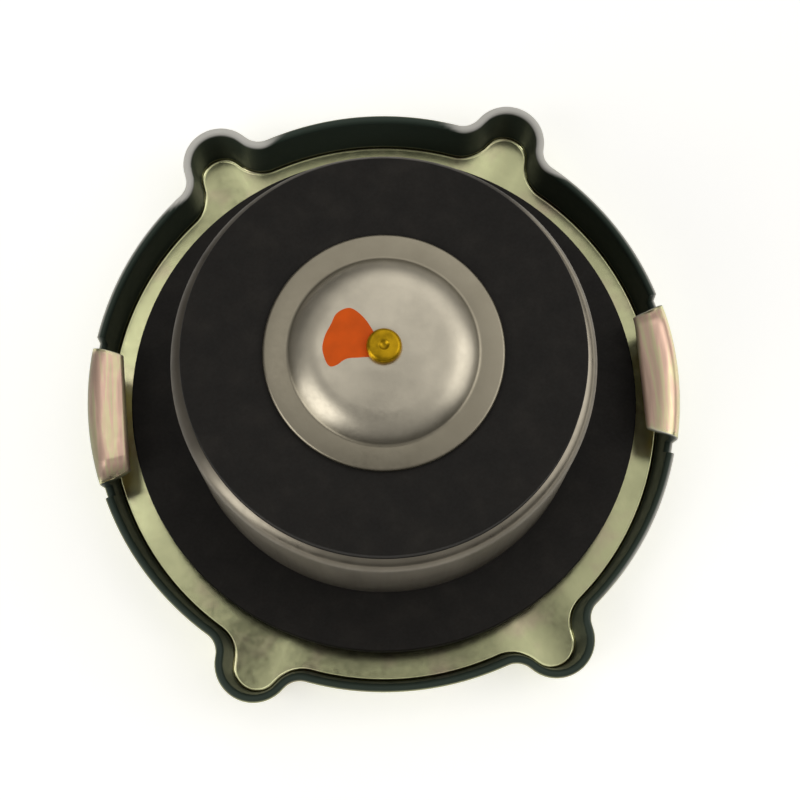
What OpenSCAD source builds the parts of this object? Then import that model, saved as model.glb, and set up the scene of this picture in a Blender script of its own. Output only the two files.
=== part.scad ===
// Pressure cap for a radiator filler neck.
// It lies on its outer face with the valve side up; Z runs from the outer face toward the radiator.

/* [Shell] */
// Outside diameter of the skirt at its cut edge
skirt_d = 64; // [61:0.5:70]
// Height of the skirt above the outer face
skirt_h = 7.2; // [6.5:0.1:9]
// Outward lean of the skirt over its height
skirt_lean = 0.8; // [0.2:0.1:1.2]
// Thickness of the shell sheet
shell_t = 0.9; // [0.7:0.05:1.1]
// Inside radius of the bend between the outer face and the skirt
foot_r = 1.2; // [0.8:0.1:1.6]
// Diameter of the recess that holds the rivet head
recess_d = 17; // [15:0.5:20]
// Depth of that recess
recess_depth = 1.7; // [1.5:0.1:2.2]

/* [Grip lobes] */
// Distance across two opposite lobes
lobe_span = 72.4; // [70:0.2:76]
// Radius of the nose of a lobe
lobe_nose_r = 4.2; // [3.4:0.1:5]
// Radius of the hollow on either side of a lobe
lobe_hollow_r = 2.2; // [1.5:0.1:4]
// Angle of a lobe from the line through the claws
lobe_angle = 60; // [50:1:68]

/* [Claws] */
// Width of a claw along the rim
claw_w = 15.2; // [12:0.2:18]
// Distance between the tips of the two claws
claw_gap = 55.4; // [54:0.2:57]
// Inside radius of the bend of a claw
claw_bend_r = 0.7; // [0.5:0.05:1]
// Length of the rounding at each end of a claw
claw_round = 0.6; // [0.4:0.1:1.2]
// Length of the end of a claw that is pressed down as a stop
stop_w = 2.4; // [1.6:0.1:3]
// Depth to which that end is pressed down
stop_drop = 1.6; // [0.8:0.1:2]
// Width of the relief notch at each end of a claw
notch_w = 1.2; // [0.8:0.1:2]
// Depth of that notch
notch_depth = 1.6; // [0.8:0.1:2]

/* [Rivet] */
// Diameter of the shank
rivet_d = 5; // [4:0.1:6]
// Diameter of the head in the recess
rivet_head_d = 10.5; // [9:0.1:12]
// Height of that head
rivet_head_h = 1.3; // [1:0.05:1.4]
// Diameter of the flared end inside the spring cage
rivet_flare_d = 8; // [7:0.1:9]
// Height of the flared end
rivet_flare_h = 1.1; // [0.8:0.1:1.5]
// Diameter of the washer under the flared end
washer_d = 11; // [10:0.1:12]
// Thickness of that washer
washer_t = 0.6; // [0.4:0.05:0.8]

/* [Neck seal] */
// Diameter of the spring disc behind the gasket
diaphragm_d = 52; // [48:0.5:54]
// Thickness of the spring disc
diaphragm_t = 0.4; // [0.3:0.05:0.6]
// Rise of the spring disc from its hub to its rim
diaphragm_rise = 0.5; // [0.2:0.1:0.8]
// Diameter of the gasket
gasket_d = 55; // [50:0.5:56]
// Thickness of the gasket
gasket_t = 2; // [1.5:0.1:3]
// Diameter of the hole in the gasket
gasket_hole_d = 21; // [20:0.5:26]

/* [Spring cage] */
// Outside diameter of the cage
cage_d = 42.8; // [40:0.2:46]
// Thickness of the cage sheet
cage_t = 0.55; // [0.4:0.05:0.7]
// Diameter of the hub that the rivet holds
cage_hub_d = 14; // [13:0.5:16]
// Outside radius of the bend at the base of the cage
cage_foot_r = 1.6; // [1:0.1:2.5]
// Inside radius of the curled lip
lip_r = 1; // [0.8:0.05:1.3]
// Distance that the lip reaches over the valve plate
lip_grip = 0.25; // [0.2:0.05:0.6]
// Diameter of the two vent holes in the wall
vent_d = 8; // [5:0.5:10]
// Angle of the vent holes from the line through the claws
vent_angle = 18; // [0:1:90]

/* [Pressure valve] */
// Distance from the face of the neck gasket to the face of the pressure seal
reach = 21; // [20:0.5:28]
// Thickness of the pressure seal
seal_t = 2.6; // [2:0.1:3.5]
// Thickness of the valve plate
plate_t = 0.8; // [0.6:0.05:0.85]
// Outside radius of the edge of the valve plate
plate_edge_r = 0.9; // [0.9:0.05:1.2]
// Depth of the rim that guides the plate in the cage
plate_rim_h = 3.2; // [2.5:0.1:4]
// Bore of the eyelet that clamps the seal to the plate
eyelet_bore = 8; // [6:0.2:9]
// Thickness of the eyelet
eyelet_t = 0.5; // [0.4:0.05:0.6]
// Diameter of the eyelet flanges
eyelet_flange_d = 13.6; // [12.4:0.2:14]
// Wire diameter of the main spring
spring_wire_d = 2.2; // [1.6:0.1:2.4]
// Mean diameter of the main spring
spring_d = 33; // [30:0.5:35]
// Number of turns of the main spring
spring_turns = 5.25; // [4:0.25:6]

/* [Vacuum valve] */
// Diameter of the disc
disc_d = 24; // [22:0.2:28]
// Thickness of the disc
disc_t = 0.6; // [0.4:0.05:0.7]
// Diameter of the domed middle of the disc
dome_d = 19; // [18:0.2:20.5]
// Height of the dome above the rim of the disc
dome_h = 1.8; // [1.5:0.1:3]
// Diameter of the stem
stem_d = 2.5; // [2:0.1:3]
// Diameter of the stem head on the dome
stem_head_d = 3.5; // [3.3:0.1:4.5]
// Height of that head
stem_head_h = 0.8; // [0.5:0.1:1.2]
// Diameter of the washer at the inner end of the stem
stem_washer_d = 12.8; // [12:0.2:14]
// Thickness of that washer
stem_washer_t = 0.6; // [0.4:0.05:0.8]
// Wire diameter of the vacuum spring
vacuum_wire_d = 0.6; // [0.4:0.05:0.8]
// Mean diameter of the vacuum spring
vacuum_spring_d = 11.4; // [10.8:0.1:11.8]
// Length of the vacuum spring with the valve shut
vacuum_spring_h = 7; // [6:0.5:9]
// Number of turns of the vacuum spring
vacuum_turns = 5; // [4:0.5:6]

/* [Clearances] */
// Gap round a piece that slides in the cage
slide_gap = 0.2; // [0.15:0.05:0.3]
// Gap round the rivet shank and the stem, and above the turning pieces
turn_gap = 0.1; // [0.05:0.05:0.15]

/* [Hidden] */
$fn = 96;

// Heights above the outer face, in the order in which the pieces are stacked
hub_z = recess_depth + shell_t;
cage_hub_z = hub_z + diaphragm_t;
washer_z = cage_hub_z + cage_t;
flare_z = washer_z + washer_t + turn_gap;
gasket_z = cage_hub_z + diaphragm_rise;
cage_z = gasket_z + gasket_t;
cage_floor_z = cage_z + cage_t;
seal_z = cage_z + reach;
plate_z = seal_z - seal_t;
plate_back_z = plate_z - plate_t;
eyelet_z = plate_back_z - eyelet_t;
disc_z = seal_z + disc_t;
dome_z = disc_z + dome_h;
stem_washer_z = eyelet_z - vacuum_spring_h - stem_washer_t;

// Radii that follow from a fit
skirt_r = skirt_d / 2;
cage_r = cage_d / 2;
cage_in_r = cage_r - cage_t;
plate_r = cage_in_r - slide_gap;
lip_in_r = plate_r - lip_grip;
seal_r = lip_in_r - slide_gap;
rivet_hole_r = rivet_d / 2 + turn_gap;
stem_hole_r = stem_d / 2 + turn_gap;
eyelet_r = eyelet_bore / 2 + eyelet_t;

// Numbers of flat steps along the curved parts of the shell and the springs
foot_steps = 4;
bend_steps = 5;
nose_steps = 6;
hollow_steps = 3;
claw_steps = 6;
stop_steps = 4;
arc_steps = 5;
plain_angle = 7;
wire_sides = 8;
main_coil_steps = 24;
vacuum_coil_steps = 20;

// Slopes of the drawn sheets, as run over rise, and the shape of the ends of the springs
recess_run = 1.2;
cage_run = 0.9;
diaphragm_run = 4;
shoulder_run = 0.9;
shoulder_share = 0.8;
ground_share = 0.3;
closed_pitch = 1.04;

// Plane curves
function unit(v) = v / norm(v);
function left(v) = [-v[1], v[0]];
function reversed(list) = [for (i = [len(list) - 1 : -1 : 0]) list[i]];
function arc(centre, r, from, to, steps) =
    [for (i = [0 : steps]) let (a = from + (to - from) * i / steps) centre + r * [cos(a), sin(a)]];

// Corner a, b, c rounded with radius r
function corner(a, b, c, r, steps) =
    r == 0 ? [b] :
    let (u = unit(a - b))
    let (v = unit(c - b))
    let (half = acos(u * v) / 2)
    let (centre = b + unit(u + v) * r / sin(half))
    let (spoke = b + u * r / tan(half) - centre)
    let (start = atan2(spoke[1], spoke[0]))
    let (turn = -sign(cross(u, v)) * (180 - 2 * half))
    arc(centre, r, start, start + turn, steps);

// Open line through p with its inner corners rounded, and closed loop with all corners rounded
function rounded_line(p, r, steps = arc_steps) =
    let (last = len(p) - 1)
    [p[0], for (i = [1 : last - 1]) each corner(p[i - 1], p[i], p[i + 1], r[i - 1], steps), p[last]];
function rounded_loop(p, r, steps = arc_steps) =
    let (n = len(p))
    [for (i = [0 : n - 1]) each corner(p[(i + n - 1) % n], p[i], p[(i + 1) % n], r[i], steps)];

// Line at distance t to the left of p, and the outline of a sheet that has p as its right face
function offset_line(p, t) =
    [for (i = [0 : len(p) - 1])
        let (before = left(unit(p[max(i, 1)] - p[max(i, 1) - 1])))
        let (after = left(unit(p[min(i, len(p) - 2) + 1] - p[min(i, len(p) - 2)])))
        let (mitre = unit(before + after))
        p[i] + mitre * t / (mitre * after)];
function sheet(p, t) = concat(p, reversed(offset_line(p, t)));

module revolved(outline) {
    rotate_extrude() polygon(outline);
}

// Flat ring from height z to z + h with rounded edges
module ring(d, hole_d, z, h, edge_r) {
    loop = [[hole_d / 2, z], [d / 2, z], [d / 2, z + h], [hole_d / 2, z + h]];
    revolved(rounded_loop(loop, [edge_r, edge_r, edge_r, edge_r], 3));
}

// Solid skin over a row of rings of points, joined end to end or capped
module skin(rings, closed) {
    n = len(rings);
    m = len(rings[0]);
    spans = closed ? n : n - 1;
    sides = [for (i = [0 : spans - 1], j = [0 : m - 1])
        let (a = i * m + j)
        let (b = i * m + (j + 1) % m)
        let (c = (i + 1) % n * m + (j + 1) % m)
        let (d = (i + 1) % n * m + j)
        each [[a, b, c], [a, c, d]]];
    last = (n - 1) * m;
    caps = closed ? [] : [for (j = [1 : m - 2]) each [[0, j + 1, j], [last, last + j, last + j + 1]]];
    polyhedron([for (ring = rings) each ring], concat(sides, caps));
}

// Coil from height z to z + h with closed ends ground flat
module coil(d, wire_d, z, h, turns, steps) {
    tip = ground_share * wire_d / 2;
    close = closed_pitch * wire_d;
    table = [[0, tip], [1, tip + close], [turns - 1, h - tip - close], [turns, h - tip]];
    last = round(turns * steps);
    rings = [for (i = [0 : last])
        let (t = turns * i / last)
        let (a = 360 * t)
        [for (k = [0 : wire_sides - 1])
            let (spoke = wire_d / 2 * [cos(360 * k / wire_sides), sin(360 * k / wire_sides)])
            let (r = d / 2 + spoke[0])
            let (up = lookup(t, table) + spoke[1])
            [r * cos(a), r * sin(a), z + min(max(up, 0), h)]]];
    skin(rings, false);
}

// Lobed outline of the shell.
// A lobe is a nose circle between two hollow circles that touch the skirt circle.
nose_dist = lobe_span / 2 - lobe_nose_r;
hollow_dist = skirt_r + lobe_hollow_r;
nose_to_hollow = lobe_nose_r + lobe_hollow_r;
lobe_half = acos((hollow_dist ^ 2 + nose_dist ^ 2 - nose_to_hollow ^ 2) / (2 * hollow_dist * nose_dist));
hollow_centre = hollow_dist * [cos(lobe_half), sin(lobe_half)];
flank_angle = atan2(hollow_centre[1], hollow_centre[0] - nose_dist);

function polar_angle(p) = atan2(p[1], p[0]);
function from_claw(a) = let (b = a % 180) b > 90 ? b - 180 : b;
function nose_point(a, r) = [nose_dist, 0] + r * [cos(a), sin(a)];
function hollow_point(a) = hollow_centre - lobe_hollow_r * [cos(a), sin(a)];
function half_chord(dist, r, a) = sqrt(max(r ^ 2 - (dist * sin(a)) ^ 2, 0));

// Distance from the axis to the outline, drawn in by inset, along a ray at angle a
function outline_r(a, inset) =
    let (off = abs(abs(from_claw(a)) - lobe_angle))
    let (nose_r = max(lobe_nose_r - inset, 0))
    let (toward_hollow = lobe_half - off)
    off >= lobe_half ? skirt_r - inset
    : off < polar_angle(nose_point(flank_angle, nose_r))
        ? nose_dist * cos(off) + half_chord(nose_dist, nose_r, off)
        : hollow_dist * cos(toward_hollow) - half_chord(hollow_dist, lobe_hollow_r + inset, toward_hollow);

// Section of the shell. Its outer face runs round the foot, up the skirt and over the bend into a claw.
lean_angle = atan(skirt_lean / skirt_h);
bend_r = claw_bend_r + shell_t;
claw_rise = bend_r * tan(45 + lean_angle / 2) * cos(lean_angle);
claw_z = skirt_h + claw_rise;
claw_reach = skirt_r - claw_gap / 2;
wall_corners = [[-skirt_r, 0], [-skirt_lean, 0], [claw_rise * tan(lean_angle), claw_z],
    [-claw_reach, claw_z]];
foot_arc = corner(wall_corners[0], wall_corners[1], wall_corners[2], foot_r + shell_t, foot_steps);
bend_arc = corner(wall_corners[1], wall_corners[2], wall_corners[3], bend_r, bend_steps);
wall_line = concat([wall_corners[0]], foot_arc, bend_arc, [wall_corners[3]]);
wall_back = offset_line(wall_line, shell_t);
wall_last = len(wall_line) - 1;
function run_to(i) = i == 0 ? 0 : run_to(i - 1) + norm(wall_line[i] - wall_line[i - 1]);
wall_run = [for (i = [0 : wall_last]) run_to(i)];
foot_run = wall_run[foot_steps + 1];
skirt_run = wall_run[foot_steps + 2];
tongue_run = wall_run[wall_last - 1];
claw_run = wall_run[wall_last];

// Length of the sheet along that section against the distance x along the rim from the middle of a claw.
// The claw has its square end on the side of negative x and its stop on the other.
function claw_cut(x) = claw_run - claw_gap / 2 * (1 / cos(x / skirt_r * 180 / PI) - 1);
notch_run = skirt_run - notch_depth;
notch_corner = notch_w / 4;
claw_flat = claw_w / 2 - claw_round;
stop_x = claw_w / 2 - stop_w;
function claw_row(x) = [x, claw_cut(x)];
claw_end = concat(
    [for (i = [0 : claw_steps])
        let (a = 90 * i / claw_steps)
        [claw_flat + claw_round * sin(a), notch_run + (claw_cut(claw_flat) - notch_run) * cos(a)]],
    [[claw_w / 2 + notch_w, notch_run], [claw_w / 2 + notch_w + notch_corner, skirt_run]]);
cut_table = concat(
    [for (row = reversed(claw_end)) [-row[0], row[1]]],
    [for (i = [-1 : 1]) claw_row(i * claw_w / 6)],
    [for (i = [0 : stop_steps - 1]) claw_row(stop_x + (claw_flat - stop_x) * i / stop_steps)],
    claw_end);
function rim_x(a) = from_claw(a) / 180 * PI * skirt_r;
function stop_fall(x) = stop_drop * (max(x - stop_x, 0) / stop_w) ^ 2;
function tongue_share(s) = min(max((s - skirt_run) / (tongue_run - skirt_run), 0), 1);

// Angles of the sections over half of the shell, and over all of it
claw_angles = [for (row = cut_table) row[0] / skirt_r * 180 / PI];
claw_half = claw_angles[len(claw_angles) - 1];
lobe_angles = concat(
    [for (i = [0 : nose_steps]) polar_angle(nose_point(flank_angle * i / nose_steps, lobe_nose_r))],
    [for (i = [1 : hollow_steps])
        let (a = flank_angle + (lobe_half - flank_angle) * i / hollow_steps)
        polar_angle(hollow_point(a))]);
function plain_angles(from, to) =
    let (steps = ceil((to - from) / plain_angle))
    [for (i = [1 : steps]) from + (to - from) * i / steps];
lobe_last = len(lobe_angles) - 1;
lobe_spread = concat(
    [for (i = [lobe_last - 1 : -1 : 0]) -lobe_angles[i]],
    [for (i = [1 : lobe_last]) lobe_angles[i]]);
far_lobe_angle = 180 - lobe_angle;
half_turn = concat(
    claw_angles,
    plain_angles(claw_half, lobe_angle - lobe_half),
    [for (a = lobe_spread) lobe_angle + a],
    plain_angles(lobe_angle + lobe_half, far_lobe_angle - lobe_half),
    [for (a = lobe_spread) far_lobe_angle + a],
    plain_angles(far_lobe_angle + lobe_half, 180 - claw_half));
section_angles = [for (turn = [0, 180], i = [0 : len(half_turn) - 2]) turn + half_turn[i]];

// Middle of the shell: the rivet hole, the floor of the recess and its slope
recess_r = recess_d / 2;
middle_line = [[rivet_hole_r, recess_depth], [recess_r, recess_depth],
    [recess_r + recess_run * recess_depth, 0], [skirt_r, 0]];
middle_back = offset_line(middle_line, shell_t);

function point_on(line, s) =
    let (at = lookup(s, [for (i = [0 : wall_last]) [wall_run[i], i]]))
    let (i = min(floor(at), wall_last - 1))
    line[i] + (line[i + 1] - line[i]) * (at - i);
function polar(r, a, z) = [r * cos(a), r * sin(a), z];

// Closed section of the shell at angle a: the outer face from the hole to the cut edge,
// then back along the inner face
function shell_section(a) =
    let (cut = lookup(rim_x(a), cut_table))
    let (stretch = (cut - foot_run) / (claw_run - foot_run))
    let (runs = [for (i = [1 : wall_last])
        min(wall_run[i], foot_run) + max(wall_run[i] - foot_run, 0) * stretch])
    let (falls = [for (s = runs) [0, stop_fall(rim_x(a)) * tongue_share(s)]])
    let (face = [for (i = [0 : wall_last - 1]) point_on(wall_line, runs[i]) - falls[i]])
    let (back = [for (i = [0 : wall_last - 1]) point_on(wall_back, runs[i]) - falls[i]])
    concat(
        [for (i = [0 : 2]) polar(middle_line[i][0], a, middle_line[i][1])],
        [for (p = face) polar(outline_r(a, -p[0]), a, p[1])],
        [for (p = reversed(back)) polar(outline_r(a, -p[0]), a, p[1])],
        [for (i = [2 : -1 : 0]) polar(middle_back[i][0], a, middle_back[i][1])]);

module shell() {
    color("#b8b890") skin([for (a = section_angles) shell_section(a)], true);
}

module center_rivet() {
    head_z = recess_depth - rivet_head_h;
    top_z = flare_z + rivet_flare_h;
    head_r = rivet_head_d / 2;
    shank_r = rivet_d / 2;
    flare_r = rivet_flare_d / 2;
    loop = [[0, head_z], [head_r, head_z], [head_r, recess_depth], [shank_r, recess_depth],
        [shank_r, flare_z], [flare_r, flare_z], [flare_r, top_z], [shank_r - washer_t, top_z],
        [0, recess_depth]];
    edges = [0, rivet_head_h / 2, 0, 0, 0, 0, rivet_flare_h / 2, 0, 0];
    color("#a89a60") revolved(rounded_loop(loop, edges));
}

module rivet_washer() {
    color("#9a958a") ring(washer_d, 2 * rivet_hole_r, washer_z, washer_t, 0);
}

module diaphragm() {
    step_r = cage_hub_d / 2 + diaphragm_rise;
    rim_z = hub_z + diaphragm_rise;
    line = [[rivet_hole_r, hub_z], [step_r, hub_z], [step_r + diaphragm_run * diaphragm_rise, rim_z],
        [diaphragm_d / 2, rim_z]];
    color("#b0aca0") revolved(sheet(line, diaphragm_t));
}

module neck_gasket() {
    color("#26231f") ring(gasket_d, gasket_hole_d, gasket_z, gasket_t, gasket_t / 8);
}

module spring_cage() {
    lip_z = plate_z - plate_edge_r + turn_gap;
    lip_centre = [cage_in_r - lip_r, lip_z];
    lip_angle = acos((lip_in_r - lip_centre[0]) / lip_r);
    hub_r = cage_hub_d / 2;
    slope = (cage_z - cage_hub_z) * cage_run;
    corners = [[rivet_hole_r, cage_hub_z], [hub_r, cage_hub_z], [hub_r + slope, cage_z],
        [cage_r, cage_z], [cage_r, lip_z]];
    wall = rounded_line(corners, [cage_t * 2, cage_t, cage_foot_r]);
    lip = arc(lip_centre, lip_r + cage_t, lip_angle / arc_steps, lip_angle, arc_steps - 1);
    vent_z = (cage_floor_z + plate_back_z - plate_rim_h) / 2;
    color("#b5b0a0") difference() {
        revolved(sheet(concat(wall, lip), cage_t));
        translate([0, 0, vent_z]) rotate([0, 90, vent_angle])
            cylinder(d = vent_d, h = 2 * cage_d, center = true);
    }
}

module main_spring() {
    h = plate_back_z - cage_floor_z;
    color("#8a8880") coil(spring_d, spring_wire_d, cage_floor_z, h, spring_turns, main_coil_steps);
}

module pressure_plate() {
    corners = [[plate_r, plate_z - plate_rim_h], [plate_r, plate_z], [eyelet_r, plate_z]];
    color("#a8a498") revolved(sheet(rounded_line(corners, [plate_edge_r]), plate_t));
}

module pressure_seal() {
    color("#2b2723") ring(2 * seal_r, 2 * eyelet_r, plate_z, seal_t, seal_t / 10);
}

module seal_eyelet() {
    bore_r = eyelet_bore / 2;
    flange_r = eyelet_flange_d / 2;
    top_z = seal_z + eyelet_t;
    loop = [[bore_r, eyelet_z], [flange_r, eyelet_z], [flange_r, plate_back_z], [eyelet_r, plate_back_z],
        [eyelet_r, seal_z], [flange_r, seal_z], [flange_r, top_z], [bore_r, top_z]];
    color("#b0a890") revolved(rounded_loop(loop, [eyelet_t / 2, 0, 0, 0, 0, 0, 0, eyelet_t / 2]));
}

module vacuum_disc() {
    dome_r = dome_d / 2;
    land_r = stem_head_d / 2 + disc_t;
    shoulder = [dome_r - shoulder_run * dome_h, disc_z + shoulder_share * dome_h];
    line = [[disc_d / 2, disc_z], [dome_r, disc_z], shoulder, [land_r, dome_z], [stem_hole_r, dome_z]];
    color("#aaa494") revolved(sheet(rounded_line(line, [disc_t, 2 * disc_t, 2 * disc_t]), disc_t));
}

module vacuum_stem() {
    stem_r = stem_d / 2;
    head_r = stem_head_d / 2;
    end_z = stem_washer_z - stem_head_h;
    top_z = dome_z + stem_head_h;
    under_z = dome_z - disc_t;
    loop = [[0, end_z], [head_r, end_z], [head_r, stem_washer_z], [stem_r, stem_washer_z],
        [stem_r, under_z - disc_t], [head_r, under_z - disc_t], [head_r, under_z], [stem_r, under_z],
        [stem_r, dome_z], [head_r, dome_z], [head_r, top_z], [stem_r / 2, top_z],
        [0, top_z - stem_head_h / 2]];
    edge_r = stem_head_h / 2;
    color("#b8980f") revolved(rounded_loop(loop, [0, edge_r, 0, 0, 0, 0, 0, 0, 0, 0, edge_r, 0, 0]));
}

module vacuum_spring() {
    z = eyelet_z - vacuum_spring_h;
    color("#8f8d86")
        coil(vacuum_spring_d, vacuum_wire_d, z, vacuum_spring_h, vacuum_turns, vacuum_coil_steps);
}

module stem_washer() {
    color("#a9a28f") ring(stem_washer_d, 2 * stem_hole_r, stem_washer_z, stem_washer_t, 0);
}

shell();
center_rivet();
rivet_washer();
diaphragm();
neck_gasket();
spring_cage();
main_spring();
pressure_plate();
pressure_seal();
seal_eyelet();
vacuum_disc();
vacuum_stem();
vacuum_spring();
stem_washer();
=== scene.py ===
"""Radiator pressure cap: its pieces, finishes and stage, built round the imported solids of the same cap."""

import math

import bmesh
import bpy
from mathutils import Matrix, Vector


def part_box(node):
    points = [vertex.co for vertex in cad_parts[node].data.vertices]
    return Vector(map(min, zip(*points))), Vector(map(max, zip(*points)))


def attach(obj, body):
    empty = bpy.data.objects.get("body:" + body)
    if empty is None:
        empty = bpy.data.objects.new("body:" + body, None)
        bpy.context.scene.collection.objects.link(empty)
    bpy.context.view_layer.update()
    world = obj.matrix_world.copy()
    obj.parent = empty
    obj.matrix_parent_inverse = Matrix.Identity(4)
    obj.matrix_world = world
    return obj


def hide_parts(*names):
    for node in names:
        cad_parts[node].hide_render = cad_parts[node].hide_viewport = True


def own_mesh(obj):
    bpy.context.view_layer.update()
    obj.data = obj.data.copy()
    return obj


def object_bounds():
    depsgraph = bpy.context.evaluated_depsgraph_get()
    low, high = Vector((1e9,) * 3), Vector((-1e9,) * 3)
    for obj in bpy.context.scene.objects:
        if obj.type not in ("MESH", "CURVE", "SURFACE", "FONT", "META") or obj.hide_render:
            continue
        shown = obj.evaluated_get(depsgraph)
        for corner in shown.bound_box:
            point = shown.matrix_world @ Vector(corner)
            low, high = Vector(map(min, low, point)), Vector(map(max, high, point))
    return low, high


bl_info = {
    "name": "Radiator Cap",
    "version": (1, 0, 0),
    "blender": (4, 5, 0),
    "location": "3D View > Sidebar > Radiator Cap",
    "description": "Builds the pieces, the finishes and the stage of a radiator pressure cap",
    "category": "Add Mesh",
}

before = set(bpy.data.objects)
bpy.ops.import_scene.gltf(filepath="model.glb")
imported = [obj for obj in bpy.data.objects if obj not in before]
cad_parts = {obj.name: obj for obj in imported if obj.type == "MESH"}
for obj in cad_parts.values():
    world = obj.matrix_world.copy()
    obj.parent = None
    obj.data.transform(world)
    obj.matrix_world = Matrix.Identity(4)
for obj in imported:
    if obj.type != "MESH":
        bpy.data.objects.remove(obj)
CAD_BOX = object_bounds()

MM = 0.001
HALF_TURN = math.pi
FULL_TURN = 2 * math.pi
IMAGE_SIZE = 800
SENSOR_WIDTH = 36.0

# Fineness of the meshes
LATHE_STEPS = 192
FILLET_STEPS = 10
EDGE_STEPS = 6
WALL_STEPS = 36
CLAW_STEPS = 10
PLAIN_STEP = math.radians(1.2)
LOBE_STEP = math.radians(0.5)
COIL_STEPS = 80
WIRE_SIDES = 16
PAINT_STEPS = 8
VENT_SIDES = 72
WELD = 1e-7
CREASE = math.radians(38)

# Pressed forms: slopes of the recess and of the hub for their depth, and flank of a notch for its width
RECESS_SLOPE = 1.2
HUB_SLOPE = 0.9
NOTCH_FLANK = 0.25

# Rivet: its play, and the radius, wall and inner edge of its flared end
RIVET_PLAY = 0.1 * MM
FLARE_RADIUS = 4 * MM
FLARE_WALL = 0.6 * MM
FLARE_EDGE = 0.2 * MM

# Heads: rounding for their height, also of the flared end, and radius and edge of the dimple for their radius
HEAD_ROUND = 0.6
FLARE_ROUND = 0.45
DIMPLE_RADIUS = 0.3
DIMPLE_EDGE = 0.2

# Shoulder of the dome: its run and its rise for the height of the dome
SHOULDER_RUN = 0.9
SHOULDER_RISE = 0.8

# Springs: share of the wire left above a ground end, and pitch of the closed turns in wire diameters
GROUND_SHARE = 0.3
CLOSED_PITCH = 1.04

# Sockets of a Mix node that mixes colours
MIX_FACTOR = 0
MIX_A = 6
MIX_B = 7


def linear(code):
    """Linear RGB of an sRGB hex colour."""
    shares = [int(code[i:i + 2], 16) / 255 for i in (1, 3, 5)]
    return tuple(c / 12.92 if c <= 0.04045 else ((c + 0.055) / 1.055) ** 2.4 for c in shares)


def length(name, description, millimetres):
    """Property for a length, with its default in millimetres."""
    return bpy.props.FloatProperty(
        name=name, description=description, default=millimetres * MM, min=0.0, precision=5,
        subtype="DISTANCE", unit="LENGTH",
    )


def turn(name, description, degrees):
    """Property for an angle, with its default in degrees."""
    return bpy.props.FloatProperty(
        name=name, description=description, default=math.radians(degrees), subtype="ANGLE", unit="ROTATION",
    )


def colour(name, description, code):
    """Property for a colour, with its default as an sRGB hex value."""
    return bpy.props.FloatVectorProperty(
        name=name, description=description, default=linear(code), size=3, min=0.0, max=1.0, subtype="COLOR",
    )


class ShellSizes(bpy.types.PropertyGroup):
    """Sizes of the stamped shell."""

    skirt_radius: length("Skirt radius", "Outside radius of the skirt at its cut edge", 32)
    skirt_height: length("Skirt height", "Height of the skirt above the outer face", 7.2)
    lean: length("Lean", "Outward lean of the skirt over its height", 0.8)
    sheet: length("Sheet", "Thickness of the shell sheet", 0.9)
    foot_radius: length("Foot radius", "Inside radius of the bend below the skirt", 0.4)
    hole_radius: length("Rivet hole radius", "Radius of the hole for the rivet", 2.6)
    recess_radius: length("Recess radius", "Radius of the recess for the rivet head", 8.5)
    recess_depth: length("Recess depth", "Depth of that recess", 1.7)
    lobe_span: length("Lobe span", "Distance across two opposite lobes", 72.4)
    nose_radius: length("Nose radius", "Radius of the nose of a lobe", 4.2)
    hollow_radius: length("Hollow radius", "Radius of the hollow beside a lobe", 2.2)
    lobe_angle: turn("Lobe angle", "Angle of a lobe from the line through the claws", 60)
    claw_width: length("Claw width", "Width of a claw along the rim", 15.2)
    claw_gap: length("Claw gap", "Distance between the tips of the claws", 55.4)
    claw_bend: length("Claw bend", "Inside radius of the bend of a claw", 0.7)
    claw_round: length("Claw rounding", "Length of the rounding at each end of a claw", 0.6)
    stop_width: length("Stop width", "Length of the end of a claw that is pressed down", 2.4)
    stop_drop: length("Stop drop", "Depth to which that end is pressed down", 1.6)
    notch_width: length("Notch width", "Width of the relief notch at each end of a claw", 1.2)
    notch_depth: length("Notch depth", "Depth of that notch", 1.6)


class CageSizes(bpy.types.PropertyGroup):
    """Sizes of the spring cage and of the rubber gasket behind it."""

    sheet: length("Sheet", "Thickness of the cage sheet", 0.55)
    hub_radius: length("Hub radius", "Radius of the hub that the rivet holds", 7)
    foot_radius: length("Foot radius", "Outside radius of the bend at the base", 1.6)
    lip_radius: length("Lip radius", "Inside radius of the curled lip", 1)
    lip_hole: length("Lip hole radius", "Radius of the opening that the solid lip leaves", 20.4)
    lip_play: length("Lip play", "Gap between the edge of the lip and the pressure seal", 0.05)
    vent_diameter: length("Vent diameter", "Diameter of the two vent holes", 8)
    vent_angle: turn("Vent angle", "Angle of the vent holes from the line through the claws", 18)
    gasket_hole: length("Gasket hole radius", "Radius of the hole in the neck gasket", 10.5)
    rubber_edge: length("Rubber edge", "Radius of the edges of the rubber rings", 0.2)
    spring_wire: length("Spring wire", "Wire diameter of the main spring", 2.2)
    spring_turns: bpy.props.FloatProperty(
        name="Spring turns", description="Turns of the main spring", default=5.25,
    )


class ValveSizes(bpy.types.PropertyGroup):
    """Sizes of the vacuum valve in the middle."""

    disc_sheet: length("Disc sheet", "Thickness of the vacuum disc", 0.6)
    dome_radius: length("Dome radius", "Radius of the domed middle of the disc", 9.5)
    dome_round: length("Dome rounding", "Radius of the shoulder of the dome", 5)
    land_radius: length("Land radius", "Radius of the flat land under the stem head", 2.35)
    stem_radius: length("Stem radius", "Radius of the stem", 1.25)
    head_radius: length("Head radius", "Radius of the stem head", 1.75)
    head_height: length("Head height", "Height of the stem head", 0.8)
    seal_hole: length("Seal hole radius", "Radius of the hole in the pressure seal", 4.5)
    spring_wire: length("Spring wire", "Wire diameter of the vacuum spring", 0.6)
    spring_turns: bpy.props.FloatProperty(
        name="Spring turns", description="Turns of the vacuum spring", default=5,
    )
    paint_height: length("Paint height", "Thickness of the paint mark at its middle", 0.05)


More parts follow.
